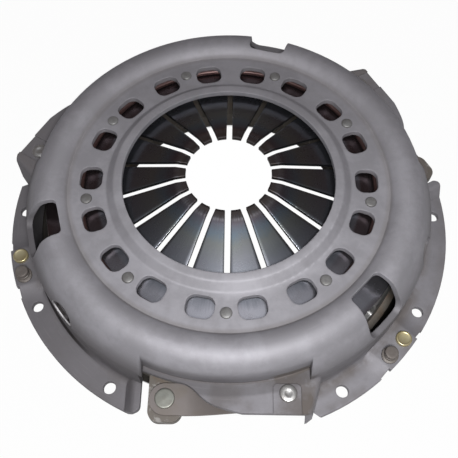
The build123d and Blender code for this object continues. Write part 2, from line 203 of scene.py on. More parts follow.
class Finish:
    """A material under construction, on one Principled shader."""

    def __init__(self, name):
        self.material = bpy.data.materials.new(name)
        self.material.use_nodes = True
        self.tree = self.material.node_tree
        self.shader = self.tree.nodes["Principled BSDF"]
        self.place = self.node("ShaderNodeTexCoord", output="Object")
        self.x, self.y, self.z = self.split(self.place)
        self.radius = self.distance(self.x, self.y)

    def node(self, kind, *values, output=0, stops=None, named=None, **settings):
        made = self.tree.nodes.new(kind)
        for key, value in settings.items():
            setattr(made, key, value)
        if stops:
            set_stops(made.color_ramp, stops)
        for key, value in (*enumerate(values), *(named or {}).items()):
            self.feed(made.inputs[key], value)
        return Signal(self, made.outputs[output])

    def feed(self, socket, value):
        if isinstance(value, Signal):
            self.tree.links.new(value.socket, socket)
        elif socket.type == "RGBA":
            socket.default_value = (*value, 1.0)
        else:
            socket.default_value = value

    def surface(self, **sockets):
        for key, value in sockets.items():
            self.feed(self.shader.inputs[key.replace("_", " ").title()], value)
        return self.material

    def maths(self, operation, *terms):
        return self.node("ShaderNodeMath", *terms, operation=operation)

    def split(self, vector):
        """The three parts of a vector."""
        parts = self.node("ShaderNodeSeparateXYZ", vector).socket.node.outputs
        return [Signal(self, part) for part in parts]

    def distance(self, x, y):
        return (x * x + y * y) ** 0.5

    def fade(self, value, low, high):
        """0 below low, 1 above high, smooth between."""
        return self.node("ShaderNodeMapRange", named={"Value": value, "From Min": low, "From Max": high},
                         interpolation_type="SMOOTHSTEP")

    def fall(self, value, low, high):
        """1 below low, 0 above high, smooth between."""
        return 1 - self.fade(value, low, high)

    def band(self, value, low, high, soft):
        """1 between low and high, 0 outside, with soft ends."""
        return self.fade(value, low - soft, low + soft) * self.fall(value, high - soft, high + soft)

    def mix(self, factor, first, second):
        return self.node("ShaderNodeMix", named={0: factor, 6: first, 7: second}, output=2,
                         data_type="RGBA")

    def noise(self, scale, detail, rough, vector=None):
        return self.node("ShaderNodeTexNoise", output="Fac", named={
            "Vector": vector or self.place, "Scale": scale, "Detail": detail, "Roughness": rough})

    def cells(self, scale):
        return self.node("ShaderNodeTexVoronoi", output="Distance",
                         named={"Vector": self.place, "Scale": scale})

    def angle(self):
        return self.maths("ARCTAN2", self.y, self.x)

    def polar(self, across, around):
        """Coordinates that run round the axis: radius, angle and height."""
        return self.node("ShaderNodeCombineXYZ",
                         self.radius * across, self.angle() * around, self.z * across)

    def sector_angle(self):
        """Angle from the middle of the nearest of the three strap tabs, in radians."""
        third = math.radians(360 / len(SECTORS))
        middle = math.radians(SECTORS[0])
        return self.maths("WRAP", self.angle() - middle, third / 2, -third / 2)

    def eased_normal(self, radius):
        return self.node("ShaderNodeBevel", samples=4, named={"Radius": radius})

    def bump(self, height, strength, distance, normal=None):
        named = {"Strength": strength, "Distance": distance, "Height": height}
        if normal:
            named["Normal"] = normal
        return self.node("ShaderNodeBump", named=named)


# Zones that dirt, shade and wear keep to, in metres: R is the radius, X, Y and Z lie along the axes, and A is
# the angle from a strap tab in radians. Two numbers are the ends of a fade, three a band and its softness.

FLANGE_Z = (0.006, 0.017)
FLANGE_EDGE_R = (0.1575, 0.1645)
FOOT_R = (0.1405, 0.1525, 0.004)
VALLEY_R = (0.1110, 0.1152, 0.0016)
VALLEY_Z = (0.0525, 0.0555, 0.0012)
SHELF_R = (0.138, 0.142)
SHELF_Z = (0.0262, 0.0320, 0.0006)
SEAT_A = (0.215, 0.395, 0.035)
SEAT_R = (0.1365, 0.1378)
SEAT_Z = (0.0312, 0.0375, 0.0020)
CREASE_R = (0.1370, 0.1402, 0.0006)
CREASE_Z = (0.0313, 0.0328, 0.0006)
# Painted shade: low down and less on the right, on the wall, and towards the back
LOW_SHADE_X = (-0.060, 0.060)
LOW_SHADE_Z = (0.037, 0.0530)
WALL_R = (0.1400, 0.1475, 0.0012)
WALL_Z = (0.012, 0.040, 0.007)
BACK_Y = (-0.020, 0.100)
# Where a black painted shadow lies along the wall's foot
FOOT_SHADOW_R = (0.1466, 0.1484, 0.0003)
FOOT_SHADOW_X = (-0.110, -0.080)
FOOT_SHADOW_Y = (-0.045, -0.020)
FOOT_SHADOW_Z = (0.0036, 0.0082, 0.0004)
SLOT_A = (-0.920, -0.775, 0.006)
SLOT_X = (-0.05, 0)
SLOT_Z = (0.0290, 0.0400, 0.0002)
SLOT_INNER_R = (0.1425, 0.1447, 0.0003)
SLOT_OUTER_R = (0.1448, 0.1457, 0.0002)
POCKET_A = (0.345, 0.435, 0.012)
POCKET_R = (0.128, 0.133)
POCKET_Z = (0.0330, 0.0350)
DISC_R = (0.092, 0.095)
DISC_Y = (-0.088, -0.030)
BEARING_R = (0.0345, 0.0385, 0.0010)
LAND_R = (0.1236, 0.1242)
LAND_Z = (0.0200, 0.0206)
LUG_R = (0.139, 0.143)
CASTING_Z = (0.00205, 0.0024)
HEAD_RIM_R = (0.0030, 0.0052)

# Painted shade and shadow, and shades of oil stains, rust and wear

# Painted shade on the cover's low parts, on its wall and on its far side
LOW_PAINTED_SHADE = (0.105, 0.098, 0.104)
WALL_SHADE = (0.070, 0.065, 0.068)
BACK_SHADE = (0.160, 0.152, 0.162)
# Painted shadow at the wall's foot, and painted shade inside the slots
FOOT_PAINTED_SHADOW = (0.016, 0.013, 0.013)
SLOT_SHADE = (0.010, 0.008, 0.008)
SHEARED_EDGE = (0.500, 0.490, 0.500)
SPECK = (0.09, 0.075, 0.07)
SCRATCH = (0.45, 0.42, 0.45)
TIP_TINT = (0.130, 0.115, 0.112)
VIOLET_TINT = (0.135, 0.122, 0.140)
GREEN_TINT = (0.175, 0.185, 0.178)
SPRING_CLOUD = (0.110, 0.105, 0.118)
# Painted shade on the spring's disc, everywhere but at the front
DISC_SHADE = (0.072, 0.038, 0.036)
WORN_TIP = (0.42, 0.41, 0.42)
RUST = (0.135, 0.090, 0.055)
LUG_SKIN = (0.140, 0.125, 0.112)
CHIPPED = (0.330, 0.320, 0.310)
TURNED_GROOVE = (0.20, 0.20, 0.20)
STRAP_STAIN = (0.150, 0.130, 0.110)
# Painted shade: both tones of the wire are darkened for the cover over it
WIRE_DARK = (0.052, 0.028, 0.026)
WIRE_LIGHT = (0.104, 0.064, 0.060)


def cover_dirt(f, around, mottle, run):
    """Dried oil on the flange, at the wall's foot, in the face's valley and in the tabs' pockets."""
    low = f.fall(f.z, *FLANGE_Z)
    stain = f.fade(f.noise(45, 4, 0.6) + f.noise(9, 2, 0.5) * 0.5, 0.66, 0.92)
    foot = low * f.band(f.radius, *FOOT_R) * 0.75
    valley = f.band(f.radius, *VALLEY_R) * f.band(f.z, *VALLEY_Z) * 0.5
    shelf = f.band(f.z, *SHELF_Z) * f.fade(f.radius, *SHELF_R) * 0.55
    edge = f.fade(f.radius, *FLANGE_EDGE_R) * low * 0.35
    seat = f.band(around, *SEAT_A) * f.band(f.z, *SEAT_Z) * f.fade(f.radius, *SEAT_R)
    crease = f.band(f.z, *CREASE_Z) * f.band(f.radius, *CREASE_R)
    pooled = (seat * 1.3 + crease * 0.8) * f.fade(mottle + run * 0.5, 0.40, 0.75)
    return (foot + shelf + edge + low * 0.05) * stain + valley * 0.7 + pooled


def cover_shade(f, tone):
    """Painted shade on all that lies low, less on the right, and on the wall and the far side."""
    # Painted shade over all below the shoulder's top, about half as strong on the right
    low_shade = f.fall(f.z, *LOW_SHADE_Z) * (1 - f.fade(f.x, *LOW_SHADE_X) * 0.55)
    tone = f.mix(low_shade * 0.76, tone, LOW_PAINTED_SHADE)
    wall = f.band(f.z, *WALL_Z) * f.band(f.radius, *WALL_R)
    tone = f.mix(wall * 0.45, tone, WALL_SHADE)
    return f.mix(f.fade(f.y, *BACK_Y) * 0.35, tone, BACK_SHADE)


def cover_edges(f, around, tone):
    """A black painted shadow at the wall's foot, front left; on the wall's slots a dark painted-shade edge
    and a bright edge.
    """
    # Painted shadow: a black line where the wall meets the flange, on the front left only
    foot_shadow = f.band(f.radius, *FOOT_SHADOW_R) * f.band(f.z, *FOOT_SHADOW_Z)
    foot_shadow = foot_shadow * f.fall(f.x, *FOOT_SHADOW_X) * f.fall(f.y, *FOOT_SHADOW_Y)
    tone = f.mix(foot_shadow * 0.95, tone, FOOT_PAINTED_SHADOW)
    slot = f.band(around, *SLOT_A) * f.band(f.z, *SLOT_Z) * f.fall(f.x, *SLOT_X)
    # Painted shade on the inner half of the slot's cut edge
    tone = f.mix(slot * f.band(f.radius, *SLOT_INNER_R), tone, SLOT_SHADE)
    return f.mix(slot * f.band(f.radius, *SLOT_OUTER_R), tone, SHEARED_EDGE)


def cover_normal(f, around):
    """Eased edges, and wider ones at the high ends of the tabs' pockets, which flow into the wall."""
    pocket_end = f.band(f.maths("ABSOLUTE", around), *POCKET_A)
    pocket_end = pocket_end * f.fade(f.radius, *POCKET_R) * f.fade(f.z, *POCKET_Z)
    plain, wide = f.eased_normal(0.0011), f.eased_normal(0.0038)
    return f.node("ShaderNodeMix", named={0: pocket_end, 4: plain, 5: wide}, output=1, data_type="VECTOR")


def cover_steel(tones):
    """Phosphated steel: cloudy, specked and faintly scratched, oil and dirt in its low places, and painted
    shade.
    """
    f = Finish("cover_steel")
    cloud = f.noise(28, 4, 0.55)
    mottle = f.noise(210, 3, 0.6)
    fine = f.noise(1400, 2, 0.6)
    run = f.noise(1.0, 3, 0.6, vector=f.polar(across=60, around=9))
    scratch = f.noise(1.0, 2, 0.5, vector=f.polar(across=1500, around=5))
    around = f.sector_angle()
    patch = f.fade(cloud * 0.5 + run * 0.3 + mottle * 0.2, 0.42, 0.60)
    tone = f.mix(patch, tuple(tones.cover_dark), tuple(tones.cover))
    dirt = cover_dirt(f, around, mottle, run)
    tone = f.mix(dirt, tone, tuple(tones.grime))
    tone = cover_edges(f, around, cover_shade(f, tone))
    speck = f.fade(f.cells(330), 0.10, 0.02) * f.fade(mottle, 0.55, 0.7) * 0.35
    tone = f.mix(speck, tone, SPECK)
    tone = f.mix(f.fade(scratch, 0.62, 0.74) * 0.10, tone, SCRATCH)
    rough = 0.66 + (fine - 0.5) * 0.12 + (cloud - 0.5) * 0.12 + dirt * 0.25
    grain = f.bump(fine * 0.5 + mottle * 0.5 + scratch * 0.15, 0.22, 0.00012,
                   normal=cover_normal(f, around))
    return f.surface(base_color=tone, metallic=0.50 - dirt * 0.4, roughness=rough, normal=grain)


def spring_steel(tones):
    """Oil-hardened spring: disc darkened with painted shade, grey-violet fingers, heat tint towards the
    ground tips.
    """
    f = Finish("spring_steel")
    cloud = f.noise(60, 4, 0.55)
    streak = f.noise(1.0, 3, 0.55, vector=f.polar(across=40, around=70))
    reach = f.radius + (cloud - 0.5) * 0.012 + (streak - 0.5) * 0.008
    along = f.node("ShaderNodeMapRange", named={"Value": reach, "From Min": 0.028, "From Max": 0.100})
    tint = f.node("ShaderNodeValToRGB", along, stops=[
        (0.00, TIP_TINT), (0.07, tuple(tones.straw)), (0.16, VIOLET_TINT), (0.26, tuple(tones.blue)),
        (0.36, GREEN_TINT), (0.55, tuple(tones.spring)), (0.85, tuple(tones.spring)),
        (0.95, tuple(tones.spring_dark))])
    tone = f.mix(f.fade(cloud, 0.42, 0.66) * 0.35, tint, SPRING_CLOUD)
    # Painted shade: the disc goes dark brown everywhere but at the front
    tone = f.mix(f.fade(f.radius, *DISC_R) * f.fade(f.y, *DISC_Y) * 0.74, tone, DISC_SHADE)
    worn = f.band(f.radius, *BEARING_R) * f.fade(streak, 0.40, 0.60)
    tone = f.mix(worn * 0.45, tone, WORN_TIP)
    rough = 0.26 + (cloud - 0.5) * 0.16 - worn * 0.08
    grain = f.bump(f.noise(900, 2, 0.6) * 0.6 + streak * 0.4, 0.18, 0.0001)
    return f.surface(base_color=tone, metallic=0.96, roughness=rough, normal=grain)


def cast_iron(tones):
    """Rough casting with chipped lugs, turned on the friction face and the fulcrum land."""
    f = Finish("cast_iron")
    lump = f.noise(420, 4, 0.65)
    rust = f.fade(f.noise(50, 5, 0.6), 0.52, 0.72)
    turned = f.noise(1.0, 1, 0.4, vector=f.polar(across=4200, around=0.4))
    land = f.fade(f.z, *LAND_Z) * f.fade(f.radius, *LAND_R)
    cut = 1 - f.fade(f.z, *CASTING_Z) * (1 - land)
    cast = f.mix(rust * 0.7, tuple(tones.iron), RUST)
    lug = f.fade(f.radius, *LUG_R)
    cast = f.mix(lug * 0.6, cast, LUG_SKIN)
    chipped = f.fade(f.noise(170, 4, 0.65), 0.50, 0.60) * lug * (1 - cut)
    cast = f.mix(chipped * 0.65, cast, CHIPPED)
    tone = f.mix(cut, cast, tuple(tones.machined))
    tone = f.mix(cut * f.fade(turned, 0.4, 0.7) * 0.3, tone, TURNED_GROOVE)
    rough = 0.66 - cut * 0.33 + (lump - 0.5) * 0.2
    grain = f.bump(lump * (1 - cut) + turned * cut * 0.15, 0.45, 0.0004)
    return f.surface(base_color=tone, metallic=0.35 + cut * 0.55, roughness=rough, normal=grain)


def strap_steel(tones):
    """Rolled spring steel with oil stains."""
    f = Finish("strap_steel")
    cloud = f.noise(70, 4, 0.6)
    grain = f.bump(f.noise(650, 2, 0.5), 0.16, 0.0001)
    tone = f.mix(f.fade(cloud, 0.42, 0.62) * 0.5, tuple(tones.strap), STRAP_STAIN)
    return f.surface(base_color=tone, metallic=0.4, roughness=0.52 + (cloud - 0.5) * 0.2, normal=grain)


def drawn_wire(tones):
    """Drawn and hardened wire, with the shade of the cover over it painted into its tones."""
    f = Finish("wire_steel")
    draw = f.noise(1.0, 2, 0.5, vector=f.polar(across=2500, around=6))
    tone = f.mix(f.fade(draw, 0.4, 0.65), WIRE_DARK, WIRE_LIGHT)
    grain = f.bump(draw, 0.1, 0.0001)
    return f.surface(base_color=tone, metallic=0.7, roughness=0.42 + (draw - 0.5) * 0.2, normal=grain)


def formed_head(name, light, dark, metal, rough, dirt, pitted):
    """A formed rivet head: worn on its crown, with dirt towards its edge and its own scratches."""
    f = Finish(name)
    own_x, own_y, _ = f.split(f.node("ShaderNodeAttribute", attribute_name="head_place", output="Vector"))
    cloud = f.noise(160, 4, 0.6)
    pit = f.noise(900, 3, 0.6)
    rim = f.fade(f.distance(own_x, own_y) + (cloud - 0.5) * 0.003, *HEAD_RIM_R)
    tone = f.mix(f.fade(cloud, 0.38, 0.66) * 0.6 + rim * dirt * 0.4, light, dark)
    return f.surface(base_color=tone, metallic=metal, roughness=rough + (cloud - 0.5) * 0.25,
                     normal=f.bump(cloud * 0.5 + pit * 0.5, pitted, 0.0002))


SURFACES = {
    "cover_steel": cover_steel,
    "spring_steel": spring_steel,
    "cast_iron": cast_iron,
    "strap_steel": strap_steel,
    "wire_steel": drawn_wire,
}

# Rivet heads by slot: the colour's name, metallic share, roughness, dirt at the rim, depth of the pits
HEADS = {
    "rivet_steel": ("fulcrum_head", 0.5, 0.50, 0.9, 0.25),
    "bright_rivet": ("tab_head", 0.80, 0.40, 0.4, 0.7),
    "lug_rivet_steel": ("lug_head", 0.6, 0.46, 0.4, 0.25),
    "yellow_zinc": ("zinc", 0.75, 0.34, 0.4, 0.25),
    "dark_rivet": ("stepped", 0.4, 0.52, 0.4, 0.25),
}


def finish_for(slot_name):
    """The finish of a slot, made the first time that it is asked for."""
    known = bpy.data.materials.get(f"made_{slot_name}")
    if known:
        return known
    tones = bpy.context.scene.clutch_finishes
    if slot_name in HEADS:
        tone, *settings = HEADS[slot_name]
        light, dark = getattr(tones, tone), getattr(tones, f"{tone}_dark")
        material = formed_head(slot_name, tuple(light), tuple(dark), *settings)
    else:
        material = SURFACES[slot_name](tones)
    material.name = f"made_{slot_name}"
    return material


# Geometry helpers

class Nodes:
    """A Geometry Nodes tree under construction."""

    def __init__(self, name, sockets):
        self.tree = bpy.data.node_groups.new(name, "GeometryNodeTree")
        face = self.tree.interface
        face.new_socket("Geometry", in_out="INPUT", socket_type="NodeSocketGeometry")
        for label, kind, default in sockets:
            socket = face.new_socket(label, in_out="INPUT", socket_type=f"NodeSocket{kind}")
            if default is not None:
                socket.default_value = default
        face.new_socket("Geometry", in_out="OUTPUT", socket_type="NodeSocketGeometry")
        self.start = self.tree.nodes.new("NodeGroupInput")

    def given(self, label):
        return self.start.outputs[label]

    def add(self, kind, output=0, named=None, **settings):
        return add_node(self.tree, kind, named, output, **settings)

    def maths(self, operation, first, second):
        return self.add("ShaderNodeMath", named={0: first, 1: second}, operation=operation)

    def end(self, geometry):
        out = self.tree.nodes.new("NodeGroupOutput")
        self.tree.links.new(geometry, out.inputs[0])
        return self.tree


def ring_tree():
    """Repeats a shape round the Z axis, each copy with its own small turn."""
    known = bpy.data.node_groups.get("ring_of_copies")
    if known:
        return known
    n = Nodes("ring_of_copies", [
        ("Count", "Int", 9), ("Radius", "Float", 0.1), ("Side", "Float", 0.0),
        ("First Angle", "Float", 0.0), ("Own Turn", "Float", 0.0), ("Seed", "Int", 3),
        ("Odd Copy", "Int", -1), ("Odd Turn", "Float", 0.0), ("Weld", "Float", 0.000001),
        ("Material", "Material", None)])
    kept = n.add("GeometryNodeStoreNamedAttribute", data_type="FLOAT_VECTOR", domain="POINT", named={
        "Geometry": n.given("Geometry"), "Name": "head_place", "Value": n.add("GeometryNodeInputPosition")})
    index = n.add("GeometryNodeInputIndex")
    step = n.maths("DIVIDE", 2 * math.pi, n.given("Count"))
    even = n.maths("ADD", n.given("First Angle"), n.maths("MULTIPLY", index, step))
    is_odd = n.add("ShaderNodeMath", named={0: index, 1: n.given("Odd Copy"), 2: 0.1}, operation="COMPARE")
    angle = n.maths("ADD", even, n.maths("MULTIPLY", is_odd, n.given("Odd Turn")))
    place = n.add("ShaderNodeCombineXYZ", named={0: n.given("Radius"), 1: n.given("Side"), 2: 0.0})
    turned = n.add("ShaderNodeVectorRotate", rotation_type="Z_AXIS",
                   named={"Vector": place, "Angle": angle})
    points = n.add("GeometryNodePoints", named={"Count": n.given("Count"), "Position": turned})
    chance = n.add("FunctionNodeRandomValue", output=1, data_type="FLOAT",
                   named={2: -1.0, 3: 1.0, "Seed": n.given("Seed")})
    spin = n.maths("ADD", angle, n.maths("MULTIPLY", chance, n.given("Own Turn")))
    heading = n.add("ShaderNodeCombineXYZ", named={0: 0.0, 1: 0.0, 2: spin})
    copies = n.add("GeometryNodeInstanceOnPoints",
                   named={"Points": points, "Instance": kept, "Rotation": heading})
    real = n.add("GeometryNodeRealizeInstances", named={"Geometry": copies})
    joined = n.add("GeometryNodeMergeByDistance", named={"Geometry": real, "Distance": n.given("Weld")})
    return n.end(n.add("GeometryNodeSetMaterial",
                       named={"Geometry": joined, "Material": n.given("Material")}))


def shading_tree():
    """Welds a solid's loose triangles and shades it smooth up to a sharp angle."""
    known = bpy.data.node_groups.get("soft_shading")
    if known:
        return known
    n = Nodes("soft_shading", [("Weld", "Float", 0.000002), ("Sharp Angle", "Float", 0.5)])
    joined = n.add("GeometryNodeMergeByDistance",
                   named={"Geometry": n.given("Geometry"), "Distance": n.given("Weld")})
    faces = n.add("GeometryNodeSetShadeSmooth", domain="FACE",
                  named={"Geometry": joined, "Shade Smooth": True})
    bend = n.add("GeometryNodeInputMeshEdgeAngle")
    soft = n.add("FunctionNodeCompare", data_type="FLOAT", operation="LESS_THAN",
                 named={0: bend, 1: n.given("Sharp Angle")})
    return n.end(n.add("GeometryNodeSetShadeSmooth", domain="EDGE",
                       named={"Geometry": faces, "Shade Smooth": soft}))


def with_tree(obj, tree, **values):
    """Puts a tree on an object as a modifier, with values for its inputs."""
    modifier = obj.modifiers.new(tree.name, "NODES")
    modifier.node_group = tree
    sockets = {s.name: s.identifier for s in tree.interface.items_tree if s.in_out == "INPUT"}
    for label, value in values.items():
        modifier[sockets[label.replace("_", " ").title()]] = value


def settle(obj, sharp=None):
    """Turns what the modifiers make into the object's plain mesh."""
    graph = bpy.context.evaluated_depsgraph_get()
    mesh = bpy.data.meshes.new_from_object(obj.evaluated_get(graph))
    obj.modifiers.clear()
    obj.data = mesh
    if sharp:
        mesh.shade_smooth()
        mesh.set_sharp_from_angle(angle=math.radians(sharp))


def object_from(name, made):
    """A bmesh as a new object of the scene, with its faces turned outwards."""
    bmesh.ops.recalc_face_normals(made, faces=made.faces)
    mesh = bpy.data.meshes.new(name)
    made.to_mesh(mesh)
    made.free()
    obj = bpy.data.objects.new(name, mesh)
    bpy.context.scene.collection.objects.link(obj)
    return obj


def lathe(name, profile, steps=56):
    """A closed turned shape from (radius, height) points in millimetres, from axis to axis."""
    made = bmesh.new()
    rings = []
    for radius, height in profile:
        if radius == 0:
            rings.append([made.verts.new((0, 0, height * MM))] * steps)
            continue
        angles = [2 * math.pi * k / steps for k in range(steps)]
        rings.append([made.verts.new((radius * MM * math.cos(a), radius * MM * math.sin(a), height * MM))
                      for a in angles])
    for low, high in zip(rings, rings[1:]):
        for k in range(steps):
            corners = (low[k], low[(k + 1) % steps], high[(k + 1) % steps], high[k])
            made.faces.new(list(dict.fromkeys(corners)))
    return object_from(name, made)


def spread(start, end, steps):
    """Evenly spaced values with both ends among them."""
    return [start + (end - start) * k / steps for k in range(steps + 1)]


def arc(centre, radius, start, end, steps=5):
    """Points of an arc in a profile, in millimetres and degrees."""
    angles = [math.radians(a) for a in spread(start, end, steps)]
    return [(centre[0] + radius * math.cos(a), centre[1] + radius * math.sin(a)) for a in angles]


def ring_piece(shape, name, slot_name, body, nodes, count=3, radius=0.0, side=0.0, first=SECTORS[0],
               own_turn=2.0, seed=3, odd_copy=-1, odd_turn=0.0):
    """Repeats a shape round the axis as one piece that takes the place of the given nodes."""
    with_tree(shape, ring_tree(), count=count, radius=radius, side=side, first_angle=math.radians(first),
              own_turn=own_turn, seed=seed, odd_copy=odd_copy, odd_turn=math.radians(odd_turn),
              material=finish_for(slot_name))
    settle(shape, sharp=32)
    shape.name = name
    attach(shape, body)
    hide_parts(*nodes)


def dress(node, slot_name, sharp=26):
    """Gives a node of the frame its finish and its shading."""
    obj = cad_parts[node]
    obj.data.materials.clear()
    obj.data.materials.append(finish_for(slot_name))
    with_tree(obj, shading_tree(), sharp_angle=math.radians(sharp))


# Pieces

class DressCover(Operator):
    """Give the pressed cover its phosphated steel"""

    bl_idname = "clutch.dress_cover"
    bl_label = "Pressed Cover"

    def execute(self, context):
        dress("cover", "cover_steel", sharp=34)
        return {"FINISHED"}


class DressPlate(Operator):
    """Give the pressure plate its cast and turned iron"""

    bl_idname = "clutch.dress_plate"
    bl_label = "Pressure Plate"

    def execute(self, context):
        dress("pressure_plate", "cast_iron")
        return {"FINISHED"}


class DressRings(Operator):
    """Give the two fulcrum rings their drawn wire"""

    bl_idname = "clutch.dress_rings"
    bl_label = "Fulcrum Rings"

    def execute(self, context):
        for node in ("fulcrum_ring_upper", "fulcrum_ring_lower"):
            dress(node, "wire_steel", sharp=60)
        return {"FINISHED"}


def spring_height(sizes, radius):
    """Height of the spring's upper face at a radius: disc, finger and flattened tip."""
    disc = (sizes.fulcrum_radius - max(radius, sizes.bend_radius)) * math.tan(sizes.disc_slope)
    finger = max(sizes.bend_radius - max(radius, sizes.tip_bend), 0) * math.tan(sizes.finger_slope)
    tip = max(sizes.tip_bend - radius, 0) * math.tan(sizes.tip_slope)
    return sizes.fulcrum_height + disc + finger + tip


def slot_half_width(sizes, radius):
    """Half the width of the gap beside a finger at a radius."""
    corner = sizes.hole_round
    near, far = sizes.hole_near + corner, sizes.hole_far - corner
    if radius <= sizes.hole_near:
        return sizes.slot_width / 2
    base = sizes.hole_half - corner
    if radius < near:
        return base + math.sqrt(max(corner**2 - (near - radius) ** 2, 0))
    if radius <= far:
        return sizes.hole_half
    return base + math.sqrt(max(corner**2 - (radius - far) ** 2, 0))


def spring_radii(sizes):
    """The radii of the spring's rows of points, and the number of the row at the slot's end."""
    corner = sizes.hole_round
    quarter = [math.radians(a) for a in spread(0, 90, 5)]
    radii = spread(sizes.tip_radius, sizes.tip_bend, 4)[:-1] + spread(sizes.tip_bend, sizes.hole_near, 20)
    radii += [sizes.hole_near + corner * (1 - math.cos(a)) for a in quarter[1:]]
    radii += [sizes.hole_far - corner + corner * math.sin(a) for a in quarter]
    return radii + spread(sizes.hole_far, sizes.rim_radius, 7)[1:], len(radii) - 1


def spring_sector(sizes):
    """One finger with its share of the disc, open only towards its neighbours.

    Each row holds the upper and the lower points at one radius. From the slot's end outwards a row has
    two more points at each side, which reach the middle of the gap between two fingers.
    """
    columns = 8
    pitch = math.pi / sizes.fingers
    drop = sizes.thickness / math.cos(sizes.disc_slope)
    radii, slot_end = spring_radii(sizes)
    made = bmesh.new()
    rows = []
    for number, radius in enumerate(radii):
        gap = slot_half_width(sizes, min(radius, sizes.hole_far))
        half = pitch - math.asin(gap / min(radius, sizes.hole_far))
        angles = [half * (2 * k / columns - 1) for k in range(columns + 1)]
        if number >= slot_end:
            angles = [-pitch, -(pitch + half) / 2] + angles + [(pitch + half) / 2, pitch]
        top = spring_height(sizes, radius)
        rows.append([[made.verts.new((radius * math.cos(a), radius * math.sin(a), z)) for a in angles]
                     for z in (top, top - drop)])
    for number, (one, two) in enumerate(zip(rows, rows[1:])):
        if number == slot_end - 1:
            two = [points[2:-2] for points in two]
        for a, b in zip(one, two):
            for k in range(len(a) - 1):
                made.faces.new((a[k], a[k + 1], b[k + 1], b[k]))
        if number < slot_end:
            for k in (0, -1):
                made.faces.new((one[0][k], one[1][k], two[1][k], two[0][k]))
    # The tip, the rim and both sides of the slot's end
    for row, spans in ((rows[0], [(0, columns)]), (rows[-1], [(0, columns + 4)]),
                       (rows[slot_end], [(0, 2), (columns + 2, columns + 4)])):
        for start, end in spans:
            for k in range(start, end):
                made.faces.new((row[0][k], row[0][k + 1], row[1][k + 1], row[1][k]))
    return object_from("diaphragm_spring_mesh", made)


class BuildSpring(Operator):
    """Build the diaphragm spring from one finger, repeated round the axis"""

    bl_idname = "clutch.build_spring"
    bl_label = "Diaphragm Spring"

    def execute(self, context):
        sizes = context.scene.clutch_spring
        spring = spring_sector(sizes)
        with_tree(spring, ring_tree(), count=sizes.fingers, radius=0.0, weld=0.00001,
                  material=finish_for("spring_steel"))
        settle(spring)
        joined = bmesh.new()
        joined.from_mesh(spring.data)
        bmesh.ops.recalc_face_normals(joined, faces=joined.faces)
        joined.to_mesh(spring.data)
        joined.free()
        bevel = spring.modifiers.new("slot_edges", "BEVEL")
        bevel.width = sizes.edge
        bevel.segments = 2
        bevel.limit_method = "ANGLE"
        bevel.angle_limit = math.radians(50)
        settle(spring, sharp=40)
        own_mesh(spring)
        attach(spring, COVER)
        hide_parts("diaphragm_spring")
        return {"FINISHED"}


def fulcrum_rivet_profile():
    """A wide head under the spring, a shank through its slot and a low dome on the cover's face."""
    foot, face, shank = 38.2, 53.5, 3.0
    profile = [(0, foot - 3.0), (5.6, foot - 3.0)] + arc((5.9, foot - 1.9), 1.1, -90, 0) + [(7.0, foot)]
    profile += [(shank, foot), (shank, face), (3.9, face)] + arc((3.0, face + 0.6), 1.0, 0, 75)
    return profile + [(1.6, face + 1.75), (0, face + 1.8)]


class BuildFulcrumRivets(Operator):
    """Build the nine fulcrum rivets"""

    bl_idname = "clutch.build_fulcrum_rivets"
    bl_label = "Fulcrum Rivets"

    def execute(self, context):
        sizes = context.scene.clutch_rivets
        rivet = lathe("fulcrum_rivet", fulcrum_rivet_profile(), steps=40)
        ring_piece(rivet, "fulcrum_rivet_heads", "rivet_steel", COVER, ["fulcrum_rivets"],
                   count=sizes.fulcrum_count, radius=sizes.fulcrum_circle, own_turn=3.0)
        return {"FINISHED"}


def strap_height(straps, half, distance):
    """Height of the pack's underside at a distance along the strap; the tab is at the positive end."""
    drop = straps.tab_under - 3 * straps.leaf - straps.lug_top
    bend = half - straps.flat
    t = min(max((distance + bend) / (2 * bend), 0), 1)
    return straps.lug_top + drop * (t * t * (3 - 2 * t))


def strap_leaf(made, straps, rivets, level):
    """One leaf, rounded at both ends, with eased edges and a hair of air under the next leaf."""
    half, wide, line = rivets.strap_half, straps.width / 2, rivets.strap_distance
    ease, air, blunt = straps.leaf * 0.22, 0.00001, 0.00005
    steps = 40
    quarter = [math.radians(a) for a in spread(0, 90, 10)]
    stations = [-half - wide * math.cos(a) for a in quarter]
    stations += [half * (2 * k / steps - 1) for k in range(1, steps + 1)]
    stations += [half + wide * math.sin(a) for a in quarter[1:]]
    rows = []
    for s in stations:
        past = max(abs(s) - half, 0)
        reach = math.sqrt(max(wide**2 - past**2, 0)) + (blunt if past else 0)
        base = strap_height(straps, half, s) + straps.leaf * level
        top = base + straps.leaf
        lower = [(-reach, base + ease), (-reach + ease, base), (0, base), (reach - ease, base),
                 (reach, base + ease)]
        upper = [(reach, top - ease), (reach - ease, top - air), (0, top - air), (-reach + ease, top - air),
                 (-reach, top - ease)]
        rows.append([made.verts.new((line + x, s, z)) for x, z in lower + upper])
    for one, two in zip(rows, rows[1:]):
        for k in range(len(one)):
            j = (k + 1) % len(one)
            made.faces.new((one[k], one[j], two[j], two[k]))
    made.faces.new(rows[0])
    made.faces.new(rows[-1])


